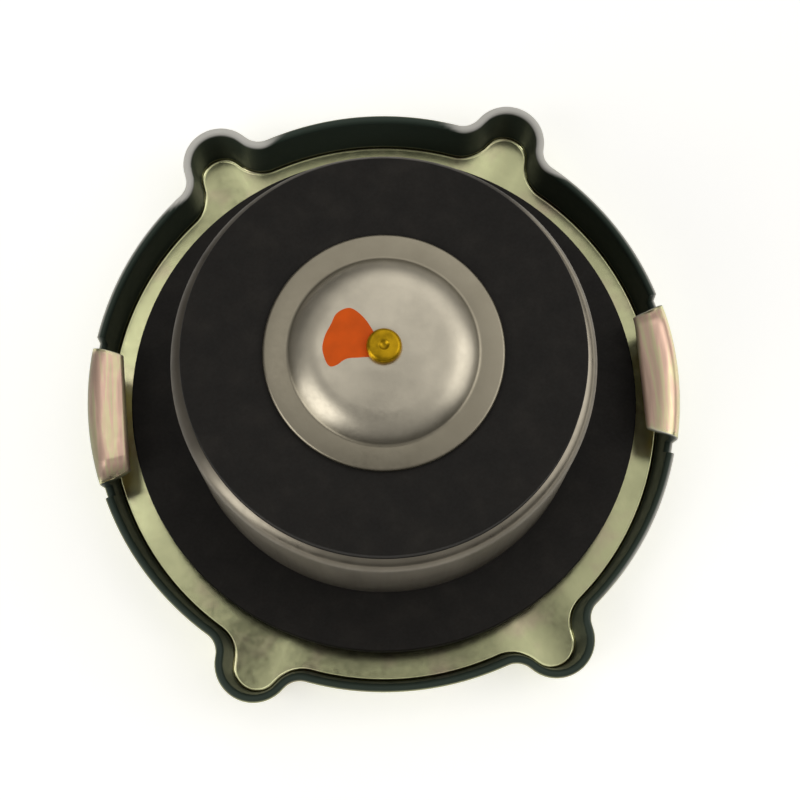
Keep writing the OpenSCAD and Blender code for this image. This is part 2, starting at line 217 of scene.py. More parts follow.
class CapColours(bpy.types.PropertyGroup):
    """Main colours of the finishes."""

    zinc: colour("Zinc", "Yellow passivated zinc of the shell", "#d2d2a2")
    blush: colour("Blush", "Pink blotches in the zinc", "#d2b2a4")
    straw: colour("Straw", "Yellow streaks on the claws", "#f6e9b8")
    peach: colour("Peach", "Pale orange streaks on the claws", "#fad2ba")
    # Painted shade: dark colour for where the skirt and the claws fall dark
    painted_shade: colour("Painted_shade", "Dark film on the skirt", "#39433a")
    # Painted highlight: pale grey for where the cut edge catches the light
    edge: colour("Edge", "Highlit edge of the skirt", "#d6d3ca")
    steel: colour("Steel", "Drawn steel of the spring cage", "#989080")
    # Painted shade: dark brown-grey for the wall and one side of the cage, and for the pressure plate
    dark_shade: colour("Shade_tone", "Shaded steel of the pressure plate", "#3a352e")
    disc: colour("Disc", "Satin steel of the vacuum disc", "#cbc2ae")
    tarnish: colour("Tarnish", "Tarnished rim of the vacuum disc", "#857d6a")
    rubber: colour("Rubber", "Black rubber of the seals", "#1f1c18")
    brass: colour("Brass", "Brass of the stem", "#c0971a")
    paint: colour("Paint", "Paint mark on the dome", "#e25c16")
    wire: colour("Wire", "Drawn spring wire", "#77736b")
    floor: colour("Floor", "Floor that the cap lies on", "#f4f3f0")


class CapSettings(bpy.types.PropertyGroup):
    """All sizes and colours of the cap."""

    shell: bpy.props.PointerProperty(type=ShellSizes)
    cage: bpy.props.PointerProperty(type=CageSizes)
    valve: bpy.props.PointerProperty(type=ValveSizes)
    colours: bpy.props.PointerProperty(type=CapColours)


# Plane curves

def left(direction):
    """Unit vector to the left of a direction."""
    return Vector((-direction.y, direction.x)).normalized()


def arc(centre, radius, start, end, steps=FILLET_STEPS):
    """Points of an arc, with both its ends."""
    angles = [start + (end - start) * i / steps for i in range(steps + 1)]
    return [Vector(centre) + radius * Vector((math.cos(a), math.sin(a))) for a in angles]


def rounded(corners, closed=False):
    """Line through corners (x, y) or (x, y, radius), with an arc at each corner that has a radius."""
    points = [Vector(c[:2]) for c in corners]
    line = []
    for i, corner in enumerate(corners):
        point = points[i]
        inner = closed or 0 < i < len(points) - 1
        if len(corner) < 3 or not inner:
            line.append(point)
            continue
        radius = corner[2]
        back = (points[i - 1] - point).normalized()
        ahead = (points[(i + 1) % len(points)] - point).normalized()
        half = back.angle(ahead) / 2
        centre = point + (back + ahead).normalized() * (radius / math.sin(half))
        spoke = point + back * (radius / math.tan(half)) - centre
        start = math.atan2(spoke.y, spoke.x)
        sweep = math.copysign(HALF_TURN - 2 * half, -back.cross(ahead))
        line += arc(centre, radius, start, start + sweep)
    return line


def offset(line, distance):
    """Line at a distance to the left of a line."""
    moved = []
    last = len(line) - 1
    for i, point in enumerate(line):
        before = left(line[max(i, 1)] - line[max(i, 1) - 1])
        after = left(line[min(i + 1, last)] - line[min(i + 1, last) - 1])
        mitre = (before + after).normalized()
        moved.append(point + mitre * (distance / mitre.dot(after)))
    return moved


def half_round(start, end):
    """Points between start and end on the half circle that bulges out of a cut edge."""
    centre = (start + end) / 2
    angles = [HALF_TURN * i / EDGE_STEPS for i in range(1, EDGE_STEPS)]
    return [centre + Matrix.Rotation(a, 2) @ (start - centre) for a in angles]


def sheet_loop(line, thickness):
    """Closed outline of a sheet whose right face is the line, with half-round cut edges past its ends."""
    back = offset(line, thickness)
    return [*line, *half_round(line[-1], back[-1]), *reversed(back), *half_round(back[0], line[0])]


def smooth(low, high, value):
    """Share from 0 at low to 1 at high, with soft ends."""
    share = min(max((value - low) / (high - low), 0.0), 1.0)
    return share * share * (3 - 2 * share)


def height_on(line, radius):
    """Height at a radius of a line that runs inward."""
    for outer, inner in zip(line, line[1:]):
        if inner.x <= radius <= outer.x:
            share = (outer.x - radius) / max(outer.x - inner.x, WELD)
            return outer.y + (inner.y - outer.y) * share
    return line[-1].y


# Meshes

def polar(radius, angle, height):
    """Point at a radius, angle and height round the axis of the cap."""
    return (radius * math.cos(angle), radius * math.sin(angle), height)


def make_solid(name, rings, layers=None):
    """Object of a closed skin over rings of points, which also close on each other, with values per point."""
    count = len(rings)
    size = len(rings[0])
    faces = []
    for i in range(count):
        for j in range(size):
            a = i * size + j
            b = i * size + (j + 1) % size
            shift = ((i + 1) % count - i) * size
            faces.append((a, a + shift, b + shift, b))
    mesh = bpy.data.meshes.new(name)
    mesh.from_pydata([point for ring in rings for point in ring], [], faces)
    for layer, values in (layers or {}).items():
        mesh.attributes.new(layer, "FLOAT", "POINT").data.foreach_set("value", values)
    form = bmesh.new()
    form.from_mesh(mesh)
    bmesh.ops.remove_doubles(form, verts=form.verts, dist=WELD)
    bmesh.ops.recalc_face_normals(form, faces=form.faces)
    form.to_mesh(mesh)
    form.free()
    return make_object(name, mesh)


def in_scene(name, data):
    """Object of a mesh, camera or light in the scene."""
    thing = bpy.data.objects.new(name, data)
    bpy.context.scene.collection.objects.link(thing)
    return thing


def make_object(name, mesh):
    """Object of a mesh with smooth faces and sharp creases."""
    mesh.shade_smooth()
    mesh.set_sharp_from_angle(angle=CREASE)
    return in_scene(name, mesh)


def lathe(name, loop):
    """Object of a closed outline of (radius, height) points turned round the axis."""
    angles = [FULL_TURN * i / LATHE_STEPS for i in range(LATHE_STEPS)]
    return make_solid(name, [[polar(p.x, a, p.y) for p in loop] for a in angles])


def evaluated_mesh(holder):
    """Plain mesh of an object with its modifiers applied."""
    bpy.context.view_layer.update()
    depsgraph = bpy.context.evaluated_depsgraph_get()
    return bpy.data.meshes.new_from_object(holder.evaluated_get(depsgraph))


def give_finish(thing, finish):
    """Makes a finish the only one of an object."""
    thing.data.materials.clear()
    thing.data.materials.append(bpy.data.materials[finish])


def set_in_place(piece, node, body, finish):
    """Gives a piece its finish and lets it stand for a CAD node on that node's body."""
    give_finish(piece, finish)
    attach(piece, body)
    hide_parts(node)


def dress(node, finish):
    """Gives a CAD node that stays its finish."""
    give_finish(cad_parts[node], finish)


# Shell

# Shares that the sheet carries at each point for its finish: painted shade, streaks of the claws and painted
# highlight on the cut edge
SHELL_LAYERS = ("painted_shade", "claw", "painted_highlight")

# Painted shade, a dark colour where the sheet falls dark: amount on the tip of one claw and on the bend of
# the other claw, and the limits between which it sets in, as shares of the height of the foot, of the cut
# edge from outside to inside, and of the bend of a claw
TIP_SHADE = 0.4
BEND_SHADE = 0.6
SHADE_FOOT = 0.85
SHADE_EDGE = (0.0, 0.35)
BEND_START = (0.0, 0.1)
BEND_END = (0.95, 0.6)
CLAW_STREAKS = (0.2, 0.6)

# Painted highlight, a pale grey on the cut edge where it catches the light: limits as cosines from a lobe and
# from the claws, as half widths of a lobe and as a sine, its reach over the cut edge, what a lobe adds to
# that, and the share over which it fades
HIGHLIT_SIDE = (-0.45, -0.1)
HIGHLIT_ENDS = (0.25, 0.6)
HIGHLIT_LOBE = (1.5, 0.8)
UPPER_SIDE = (0.0, 0.2)
HIGHLIGHT_REACH = 0.5
LOBE_REACH = 0.6
HIGHLIGHT_FADE = 0.3


def from_claw(angle):
    """Angle from the nearer of the two claws."""
    return (angle + HALF_TURN / 2) % HALF_TURN - HALF_TURN / 2


class LobedOutline:
    """Plan outline of the shell: a circle with lobes, each a nose circle between two hollow circles."""

    def __init__(self, sizes):
        self.radius = sizes.skirt_radius
        self.nose = sizes.nose_radius
        self.hollow = sizes.hollow_radius
        self.lobe_angle = sizes.lobe_angle
        self.nose_distance = sizes.lobe_span / 2 - self.nose
        self.hollow_distance = self.radius + self.hollow
        squares = self.hollow_distance ** 2 + self.nose_distance ** 2 - (self.nose + self.hollow) ** 2
        self.half = math.acos(squares / (2 * self.hollow_distance * self.nose_distance))
        across = self.hollow_distance * math.cos(self.half) - self.nose_distance
        self.flank = math.atan2(self.hollow_distance * math.sin(self.half), across)

    def off_lobe(self, angle):
        """Angle from the middle of the nearest lobe."""
        return abs(abs(from_claw(angle)) - self.lobe_angle)

    def at(self, angle, inset):
        """Distance from the axis to the outline, drawn in by inset."""
        off = self.off_lobe(angle)
        if off >= self.half:
            return self.radius - inset
        nose = max(self.nose - inset, 0.0)
        side = nose * math.sin(self.flank)
        if off < math.atan2(side, self.nose_distance + nose * math.cos(self.flank)):
            chord = nose ** 2 - (self.nose_distance * math.sin(off)) ** 2
            return self.nose_distance * math.cos(off) + math.sqrt(max(chord, 0.0))
        toward = self.half - off
        chord = (self.hollow + inset) ** 2 - (self.hollow_distance * math.sin(toward)) ** 2
        return self.hollow_distance * math.cos(toward) - math.sqrt(max(chord, 0.0))


class ShellSheet:
    """Sheet of the shell. Its section is a line of (distance outward from the outline, height)."""

    def __init__(self, sizes):
        self.sizes = sizes
        self.outline = LobedOutline(sizes)
        radius = sizes.skirt_radius
        lean_angle = math.atan(sizes.lean / sizes.skirt_height)
        bend = sizes.claw_bend + sizes.sheet
        rise = bend * math.tan(HALF_TURN / 4 + lean_angle / 2) * math.cos(lean_angle)
        top = sizes.skirt_height + rise
        slope_end = sizes.recess_radius + RECESS_SLOPE * sizes.recess_depth
        line = rounded([
            (sizes.hole_radius - radius, sizes.recess_depth),
            (sizes.recess_radius - radius, sizes.recess_depth, sizes.sheet),
            (slope_end - radius, 0.0, 2 * sizes.sheet),
            (-sizes.lean, 0.0, sizes.foot_radius + sizes.sheet),
            (rise * math.tan(lean_angle), top, bend),
            (sizes.claw_gap / 2 - radius, top),
        ])
        self.floor_end = 2 * (FILLET_STEPS + 1)
        self.foot_end = self.floor_end + FILLET_STEPS + 1
        self.floor = line[:self.foot_end + 1]
        self.wall = line[self.foot_end:]
        self.runs = [0.0]
        for start, end in zip(self.wall, self.wall[1:]):
            self.runs.append(self.runs[-1] + (end - start).length)
        self.skirt_run = self.runs[1]
        self.tongue_run = self.runs[-2]
        self.claw_run = self.runs[-1]

    def wall_point(self, run):
        """Point on the wall, bend and tongue at a distance from the foot."""
        for i in range(1, len(self.runs)):
            if run <= self.runs[i] or i == len(self.runs) - 1:
                share = (run - self.runs[i - 1]) / (self.runs[i] - self.runs[i - 1])
                return self.wall[i - 1].lerp(self.wall[i], share)

    def claw_cut(self, x):
        """Length of the sheet in the claw, whose tip is straight."""
        angle = x / self.sizes.skirt_radius
        return self.claw_run - self.sizes.claw_gap / 2 * (1 / math.cos(angle) - 1)

    def cut(self, x):
        """Length of the sheet past its foot at a distance x along the rim from the middle of a claw."""
        sizes = self.sizes
        half = sizes.claw_width / 2
        notch = self.skirt_run - sizes.notch_depth
        end = sizes.claw_round
        past = abs(x) - half
        if past > sizes.notch_width:
            share = (past - sizes.notch_width) / (NOTCH_FLANK * sizes.notch_width)
            return notch + (self.skirt_run - notch) * min(share, 1.0)
        if past >= 0:
            return notch
        if past < -end:
            return self.claw_cut(x)
        full = self.claw_cut(half - end)
        return notch + (full - notch) * math.sqrt(1 - ((past + end) / end) ** 2)

    def angles(self):
        """Angles of the sections, closer together at the lobes and at the ends of the claws."""
        sizes = self.sizes
        half = sizes.claw_width / 2
        marks = [i * PLAIN_STEP for i in range(round(HALF_TURN / PLAIN_STEP))]
        steps = math.ceil(self.outline.half / LOBE_STEP)
        for middle in (sizes.lobe_angle, HALF_TURN - sizes.lobe_angle):
            marks += [middle + self.outline.half * i / steps for i in range(-steps, steps + 1)]
        end = sizes.claw_round
        turns = [HALF_TURN / 2 * i / CLAW_STEPS for i in range(CLAW_STEPS + 1)]
        spots = [half - end + end * math.sin(t) for t in turns]
        spots += [half + sizes.notch_width, half + (1 + NOTCH_FLANK) * sizes.notch_width]
        spots += [half - end - (sizes.stop_width - end) * i / CLAW_STEPS for i in range(1, CLAW_STEPS + 1)]
        marks += [side * x / sizes.skirt_radius % HALF_TURN for side in (1, -1) for x in spots]
        marks = sorted(marks)
        apart = [a for a, b in zip(marks, [*marks[1:], HALF_TURN]) if b - a > WELD]
        return [side + a for side in (0.0, HALF_TURN) for a in apart]

    def rim_highlight(self, angle):
        """Share of painted highlight on the cut edge at an angle, and how far round the edge that reaches."""
        off_lobe = self.outline.off_lobe(angle) / self.outline.half
        upper_lobe = smooth(*HIGHLIT_LOBE, off_lobe) * smooth(*UPPER_SIDE, math.sin(angle))
        side = smooth(*HIGHLIT_SIDE, math.cos(angle - self.sizes.lobe_angle))
        side *= smooth(*HIGHLIT_ENDS, abs(math.cos(angle)))
        return max(side, upper_lobe), HIGHLIGHT_REACH + LOBE_REACH * upper_lobe

    def section(self, angle):
        """Closed section at an angle, as rows of radius, height and the shares of the shell layers."""
        sizes = self.sizes
        x = from_claw(angle) * sizes.skirt_radius
        past_stop = max(x - sizes.claw_width / 2 + sizes.stop_width, 0.0) / sizes.stop_width
        fall = sizes.stop_drop * min(past_stop, 1.0) ** 2 if x < sizes.claw_width / 2 else 0.0
        in_claw = smooth(sizes.claw_width / 2, sizes.claw_width / 2 - sizes.sheet, abs(x))
        shaded_claw = in_claw if math.cos(angle) > 0 else 0.0
        highlit, reach = self.rim_highlight(angle)
        shade_start = sizes.sheet + sizes.foot_radius
        end = self.cut(x) - sizes.sheet / 2
        runs = [end * i / WALL_STEPS for i in range(1, WALL_STEPS + 1)]
        line = self.floor + [self.wall_point(run) for run in runs]
        loop = sheet_loop(line, sizes.sheet)
        face_runs = [0.0] * len(self.floor) + runs
        rim_runs = [end] * (EDGE_STEPS - 1)
        loop_runs = [*face_runs, *rim_runs, *reversed(face_runs), *[0.0] * (EDGE_STEPS - 1)]
        rows = []
        for i, (point, run) in enumerate(zip(loop, loop_runs)):
            tongue = min(max((run - self.skirt_run) / (self.tongue_run - self.skirt_run), 0.0), 1.0)
            inward = (i - len(line) + 1) / EDGE_STEPS
            # Painted shade: dark on the wall and cut edge, not on the claw tongues, and on one claw's tip and
            # the other's bend
            painted_shade = smooth(SHADE_FOOT * shade_start, shade_start, point.y) * smooth(*SHADE_EDGE, inward)
            painted_shade *= 1 - in_claw * tongue
            painted_shade = max(painted_shade, TIP_SHADE * shaded_claw * smooth(self.tongue_run, self.tongue_run + sizes.sheet, run))
            bend = smooth(*BEND_START, tongue) * smooth(*BEND_END, tongue)
            painted_shade = max(painted_shade, BEND_SHADE * (in_claw - shaded_claw) * bend)
            claw = in_claw * smooth(*CLAW_STREAKS, tongue)
            # Painted highlight: pale grey on the cut edge near the upper lobes, none on the claws
            painted_highlight = highlit * smooth(reach, reach - HIGHLIGHT_FADE, inward) * smooth(end - sizes.sheet, end, run)
            painted_highlight *= 1 - in_claw
            on_floor = point.x < self.floor[self.floor_end].x
            radius = sizes.skirt_radius + point.x if on_floor else self.outline.at(angle, -point.x)
            rows.append((radius, point.y - fall * tongue, painted_shade, claw, painted_highlight))
        return rows


def build_shell(settings):
    """Stamped shell with its lobes, skirt, claws and stops."""
    sheet = ShellSheet(settings.shell)
    angles = sheet.angles()
    sections = [sheet.section(a) for a in angles]
    rings = [[polar(row[0], a, row[1]) for row in section] for a, section in zip(angles, sections)]
    _, _, *shares = zip(*(row for section in sections for row in section))
    piece = make_solid("shell_sheet", rings, dict(zip(SHELL_LAYERS, shares)))
    set_in_place(piece, "shell", "cover", "yellow_passivated_zinc")


def build_rivet(settings):
    """Rivet that holds the cage to the shell, with a round head outside and a flared end inside."""
    low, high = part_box("center_rivet")
    sizes = settings.shell
    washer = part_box("rivet_washer")[1]
    shank = sizes.hole_radius - RIVET_PLAY
    seat = sizes.recess_depth
    step = washer.z + RIVET_PLAY
    loop = rounded([
        (0.0, low.z),
        (high.x, low.z, HEAD_ROUND * (seat - low.z)),
        (high.x, seat),
        (shank, seat),
        (shank, step),
        (FLARE_RADIUS, step),
        (FLARE_RADIUS, high.z, FLARE_ROUND * (high.z - step)),
        (shank - FLARE_WALL, high.z, FLARE_EDGE),
        (0.0, seat),
    ], closed=True)
    piece = lathe("rivet", loop)
    set_in_place(piece, "center_rivet", "cover", "yellow_passivated_zinc")
    dress("rivet_washer", "drawn_steel")


# Cage and seals

def rubber_ring(name, node, hole, edge):
    """Flat rubber ring in the place of a CAD node, with moulded round edges."""
    low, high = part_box(node)
    loop = rounded([
        (hole, low.z, edge),
        (high.x, low.z, edge),
        (high.x, high.z, edge),
        (hole, high.z, edge),
    ], closed=True)
    return lathe(name, loop)


def build_neck_seal(settings):
    """Neck gasket and the sprung disc behind it."""
    gasket = rubber_ring("gasket_ring", "neck_gasket", settings.cage.gasket_hole, settings.cage.rubber_edge)
    set_in_place(gasket, "neck_gasket", "cage", "moulded_black_rubber")
    dress("diaphragm", "drawn_steel")


def cut_vents(piece, sizes, middle, reach):
    """Cuts the two vent holes through the wall of the cage, with their axis at the height of the middle."""
    cutter = bpy.data.meshes.new("vent_cutter")
    form = bmesh.new()
    radius = sizes.vent_diameter / 2
    bmesh.ops.create_cone(
        form, cap_ends=True, segments=VENT_SIDES, radius1=radius, radius2=radius, depth=4 * reach,
    )
    place = Matrix.Translation((0, 0, middle)) @ Matrix.Rotation(sizes.vent_angle, 4, "Z")
    bmesh.ops.transform(form, matrix=place @ Matrix.Rotation(HALF_TURN / 2, 4, "Y"), verts=form.verts)
    form.to_mesh(cutter)
    form.free()
    tool = in_scene("vent_cutter", cutter)
    modifier = piece.modifiers.new("vents", "BOOLEAN")
    modifier.object = tool
    modifier.solver = "EXACT"
    mesh = evaluated_mesh(piece)
    piece.modifiers.remove(modifier)
    piece.data = mesh
    mesh.set_sharp_from_angle(angle=CREASE)
    bpy.data.objects.remove(tool)


def build_cage(settings):
    """Drawn cup round the main spring, with its curled lip and vents."""
    sizes = settings.cage
    low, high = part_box("spring_cage")
    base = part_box("neck_gasket")[1].z
    sheet = sizes.sheet
    lip = sizes.lip_radius + sheet
    lip_middle = high.x - lip
    lip_end = math.acos((sizes.lip_hole - lip_middle) / sizes.lip_radius)
    lip_centre = Vector((lip_middle, high.z - lip * math.sin(lip_end)))
    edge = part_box("pressure_seal")[1].x + sizes.lip_play - lip_middle
    slope = HUB_SLOPE * (base - low.z)
    wall = rounded([
        (settings.shell.hole_radius, low.z),
        (sizes.hub_radius, low.z, 2 * sheet),
        (sizes.hub_radius + slope, base, sheet),
        (high.x, base, sizes.foot_radius),
        (high.x, lip_centre.y),
    ])
    inside = offset(wall, sheet)
    curl_out = arc(lip_centre, lip, 0.0, math.acos(edge / lip))
    curl_in = arc(lip_centre, sizes.lip_radius, math.acos(edge / sizes.lip_radius), 0.0)
    piece = lathe("cage_cup", [*wall[:-1], *curl_out, *curl_in, *reversed(inside[:-1])])
    spring_low, spring_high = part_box("main_spring")
    plate_low, plate_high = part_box("pressure_plate")
    vent_height = (spring_low.z + spring_high.z - plate_high.z + plate_low.z) / 2
    cut_vents(piece, sizes, vent_height, high.x)
    set_in_place(piece, "spring_cage", "cage", "drawn_steel")


def build_pressure_valve(settings):
    """Rubber pressure seal on its plate, clamped by the eyelet."""
    seal = rubber_ring("seal_ring", "pressure_seal", settings.valve.seal_hole, settings.cage.rubber_edge)
    set_in_place(seal, "pressure_seal", "pressure_valve", "moulded_black_rubber")
    dress("pressure_plate", "shaded_steel")
    dress("seal_eyelet", "turned_brass")


# Vacuum valve

def disc_face(settings):
    """Upper face of the vacuum disc, from its rim inward over the dome."""
    sizes = settings.valve
    low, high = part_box("vacuum_disc")
    rim = low.z + sizes.disc_sheet
    rise = high.z - rim
    return rounded([
        (high.x - sizes.disc_sheet / 2, rim),
        (sizes.dome_radius, rim, sizes.disc_sheet),
        (sizes.dome_radius - SHOULDER_RUN * rise, rim + SHOULDER_RISE * rise, sizes.dome_round),
        (sizes.land_radius, high.z, 2 * sizes.dome_round),
        (sizes.stem_radius + sizes.disc_sheet / 2, high.z),
    ])


def build_vacuum_valve(settings):
    """Domed disc and the brass stem that holds it."""
    sizes = settings.valve
    disc = lathe("dome_disc", sheet_loop(disc_face(settings), sizes.disc_sheet))
    set_in_place(disc, "vacuum_disc", "vacuum_valve", "satin_steel")
    low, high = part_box("vacuum_stem")
    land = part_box("vacuum_disc")[1].z
    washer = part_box("stem_washer")[0].z
    under = land - sizes.disc_sheet
    stem = sizes.stem_radius
    head = sizes.head_radius
    edge = HEAD_ROUND * sizes.head_height
    loop = rounded([
        (0.0, low.z),
        (head, low.z, edge),
        (head, washer),
        (stem, washer),
        (stem, under - sizes.disc_sheet),
        (head, under - sizes.disc_sheet),
        (head, under),
        (stem, under),
        (stem, land),
        (head, land),
        (head, high.z, edge),
        (DIMPLE_RADIUS * head, high.z, DIMPLE_EDGE * head),
        (0.0, high.z - sizes.head_height / 2),
    ], closed=True)
    piece = lathe("stem_head", loop)
    set_in_place(piece, "vacuum_stem", "vacuum_valve", "turned_brass")
    dress("stem_washer", "turned_brass")


# Paint mark on the dome: how steeply its edge falls, and its middle and outline in millimetres from the stem
PAINT_FALL = 6
PAINT_MIDDLE = (-3.6, 1.1)
PAINT_OUTLINE = (
    (-0.9, 1.6), (-1.8, 3.2), (-3.0, 4.2), (-4.3, 3.8), (-5.0, 2.7), (-5.7, 1.5), (-6.0, 0.2),
    (-5.6, -1.3), (-4.9, -1.5), (-3.7, -0.9), (-2.4, -0.9), (-1.0, -0.8), (-0.6, 0.4),
)


def closed_curve(points, steps):
    """Smooth closed curve through points."""
    count = len(points)
    curve = []
    for i in range(count):
        a, b, c, d = (Vector(points[(i + k) % count]) for k in (-1, 0, 1, 2))
        for j in range(steps):
            t = j / steps
            lift = (c - a) * t + (2 * a - 5 * b + 4 * c - d) * t ** 2 + (3 * b - 3 * c + d - a) * t ** 3
            curve.append(b + lift / 2)
    return curve


def build_paint_mark(settings):
    """Thin paint mark on the dome, which runs in under the stem head."""
    face = disc_face(settings)
    middle = Vector(PAINT_MIDDLE) * MM
    sink = settings.valve.paint_height / 4
    rings = []
    for edge in closed_curve(PAINT_OUTLINE, PAINT_STEPS):
        top = []
        bottom = []
        for i in range(PAINT_STEPS + 1):
            share = i / PAINT_STEPS
            spot = middle.lerp(edge * MM, share)
            level = height_on(face, spot.length)
            lift = settings.valve.paint_height * (1 - share ** PAINT_FALL)
            top.append((spot.x, spot.y, level + lift))
            bottom.append((spot.x, spot.y, level - sink))
        rings.append(top + bottom[::-1])
    piece = make_solid("paint_mark", rings)
    give_finish(piece, "brushed_paint")
    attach(piece, "vacuum_valve")


# Springs

COIL_SIZES = (
    "Coil Radius", "Wire Radius", "Turns", "Last Turn", "Start", "Closed Rise", "Free Rise", "Bottom", "Top",
)


def coil_tree():
    """Node tree of a compression spring whose end turns lie closed and are ground flat."""
    tree = bpy.data.node_groups.new("closed_coil", "GeometryNodeTree")
    for name in COIL_SIZES:
        tree.interface.new_socket(name, in_out="INPUT", socket_type="NodeSocketFloat")
    tree.interface.new_socket("Material", in_out="INPUT", socket_type="NodeSocketMaterial")
    tree.interface.new_socket("Geometry", in_out="OUTPUT", socket_type="NodeSocketGeometry")
    given = add(tree, "NodeGroupInput").outputs
    spiral = add(tree, "GeometryNodeCurveSpiral", {
        "Resolution": COIL_STEPS, "Rotations": given["Turns"], "Start Radius": given["Coil Radius"],
        "End Radius": given["Coil Radius"], "Height": given["Turns"], "Reverse": True,
    })
    spot = add(tree, "ShaderNodeSeparateXYZ", {0: add(tree, "GeometryNodeInputPosition")}).outputs
    stretches = (
        (0.0, 1.0, given["Closed Rise"]),
        (1.0, given["Last Turn"], given["Free Rise"]),
        (given["Last Turn"], given["Turns"], given["Closed Rise"]),
    )
    height = given["Start"]
    for first, last, gain in stretches:
        rise = add(tree, "ShaderNodeMapRange", {
            "Value": spot["Z"], "From Min": first, "From Max": last, "To Max": gain,
        })
        height = add(tree, "ShaderNodeMath", {0: height, 1: rise}, operation="ADD")
    path = add(tree, "ShaderNodeCombineXYZ", {"X": spot["X"], "Y": spot["Y"], "Z": height})
    helix = add(tree, "GeometryNodeSetPosition", {"Geometry": spiral, "Position": path})
    round_wire = add(tree, "GeometryNodeCurvePrimitiveCircle", {
        "Resolution": WIRE_SIDES, "Radius": given["Wire Radius"],
    })
    wire = add(tree, "GeometryNodeCurveToMesh", {
        "Curve": helix, "Profile Curve": round_wire, "Fill Caps": True,
    })
    level = add(tree, "ShaderNodeClamp", {"Value": spot["Z"], "Min": given["Bottom"], "Max": given["Top"]})
    flat = add(tree, "ShaderNodeCombineXYZ", {"X": spot["X"], "Y": spot["Y"], "Z": level})
    ground = add(tree, "GeometryNodeSetPosition", {"Geometry": wire, "Position": flat})
    real = add(tree, "GeometryNodeRealizeInstances", {"Geometry": ground})
    coated = add(tree, "GeometryNodeSetMaterial", {"Geometry": real, "Material": given["Material"]})
    add(tree, "NodeGroupOutput", {"Geometry": coated})
    return tree


def coil(name, tree, node, sizes):
    """Spring in the place of a CAD node, made by the node tree and turned into a plain mesh."""
    low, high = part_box(node)
    wire = sizes.spring_wire
    turns = sizes.spring_turns
    tip = GROUND_SHARE * wire / 2
    closed = CLOSED_PITCH * wire
    given = {
        "Coil Radius": high.x - wire / 2,
        "Wire Radius": wire / 2,
        "Turns": turns,
        "Last Turn": turns - 1,
        "Start": low.z + tip,
        "Closed Rise": closed,
        "Free Rise": high.z - low.z - 2 * (tip + closed),
        "Bottom": low.z,
        "Top": high.z,
        "Material": bpy.data.materials["spring_wire"],
    }
    holder = in_scene(name + "_holder", bpy.data.meshes.new(name + "_holder"))
    modifier = holder.modifiers.new("coil", "NODES")
    modifier.node_group = tree
    for socket in tree.interface.items_tree:
        if socket.in_out == "INPUT":
            modifier[socket.identifier] = given[socket.name]
    mesh = evaluated_mesh(holder)
    bpy.data.objects.remove(holder)
    return make_object(name, mesh)


def build_springs(settings):
    """Main spring in the cage and the weak spring of the vacuum valve."""
    tree = coil_tree()
    spring = coil("main_coil", tree, "main_spring", settings.cage)
    set_in_place(spring, "main_spring", "cage", "spring_wire")
    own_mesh(spring)
    spring = coil("vacuum_coil", tree, "vacuum_spring", settings.valve)
    set_in_place(spring, "vacuum_spring", "pressure_valve", "spring_wire")
    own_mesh(spring)


# Finishes

# Distances from the axis between which the painted shade of the cage and the tarnish of the disc set in
SHADED_WALL = (20.9 * MM, 21.15 * MM)
TARNISHED_RIM = (8.6 * MM, 9.6 * MM)

# Direction from the axis to the side of the cage that the painted shade darkens most, and where that shade
# sets in
SHADED_SIDE = (-0.57, 0.82, 0.0)
SIDE_SHADE_EDGE = (-2 * MM, 6 * MM)


def connect(tree, node, inputs):
    """Sets the inputs of a node. A socket is linked, and a node by its first output in use."""
    for name, value in inputs.items():
        if isinstance(value, bpy.types.Node):
            value = next(socket for socket in value.outputs if socket.enabled)
        if isinstance(value, bpy.types.NodeSocket):
            tree.links.new(value, node.inputs[name])
        else:
            node.inputs[name].default_value = value


def add(tree, kind, inputs=None, stops=None, **settings):
    """Adds a node and sets its options, colour stops and inputs."""
    node = tree.nodes.new(kind)
    for name, value in settings.items():
        setattr(node, name, value)
    if stops:
        ramp = node.color_ramp.elements
        ramp.remove(ramp[1])
        ramp[0].position = stops[0][0]
        for place, _ in stops[1:]:
            ramp.new(place)
        for stop, (_, tone) in zip(ramp, stops):
            stop.color = opaque(tone)
    connect(tree, node, inputs or {})
    return node


def per(millimetres):
    """Scale of a pattern whose features have that size."""
    return 1 / (millimetres * MM)


def opaque(tone):
    """Colour with full alpha."""
    return (*tone, 1.0)


def shade(tone, share):
    """Colour made darker or lighter by a share."""
    return tuple(share * c for c in tone)


def new_finish(name, **inputs):
    """Material with one shader, its constant inputs set, and its node tree, shader and coordinates."""
    material = bpy.data.materials.new(name)
    material.use_nodes = True
    tree = material.node_tree
    tree.nodes.clear()
    shader = add(tree, "ShaderNodeBsdfPrincipled", {k.replace("_", " "): v for k, v in inputs.items()})
    add(tree, "ShaderNodeOutputMaterial", {"Surface": shader})
    return tree, shader, add(tree, "ShaderNodeTexCoord").outputs["Object"]


def mottle(tree, place, millimetres, detail, tone, shares):
    """Noise with patches of that size, and the tone in the shares that go with its values."""
    noise = add(tree, "ShaderNodeTexNoise", {"Vector": place, "Scale": per(millimetres), "Detail": detail})
    stops = [(value, shade(tone, share)) for value, share in shares]
    return noise, add(tree, "ShaderNodeValToRGB", {"Fac": noise}, stops=stops)


def fine_grain(tree, shader, place, millimetres, sheen, strength, depth):
    """Grain of that size, which gives the shader its roughness, between two values, and its bump."""
    grain = add(tree, "ShaderNodeTexNoise", {"Vector": place, "Scale": per(millimetres), "Detail": 2.0})
    rough = add(tree, "ShaderNodeMapRange", {"Value": grain, "To Min": sheen[0], "To Max": sheen[1]})
    bump = add(tree, "ShaderNodeBump", {"Height": grain, "Strength": strength, "Distance": depth})
    connect(tree, shader, {"Roughness": rough, "Normal": bump})


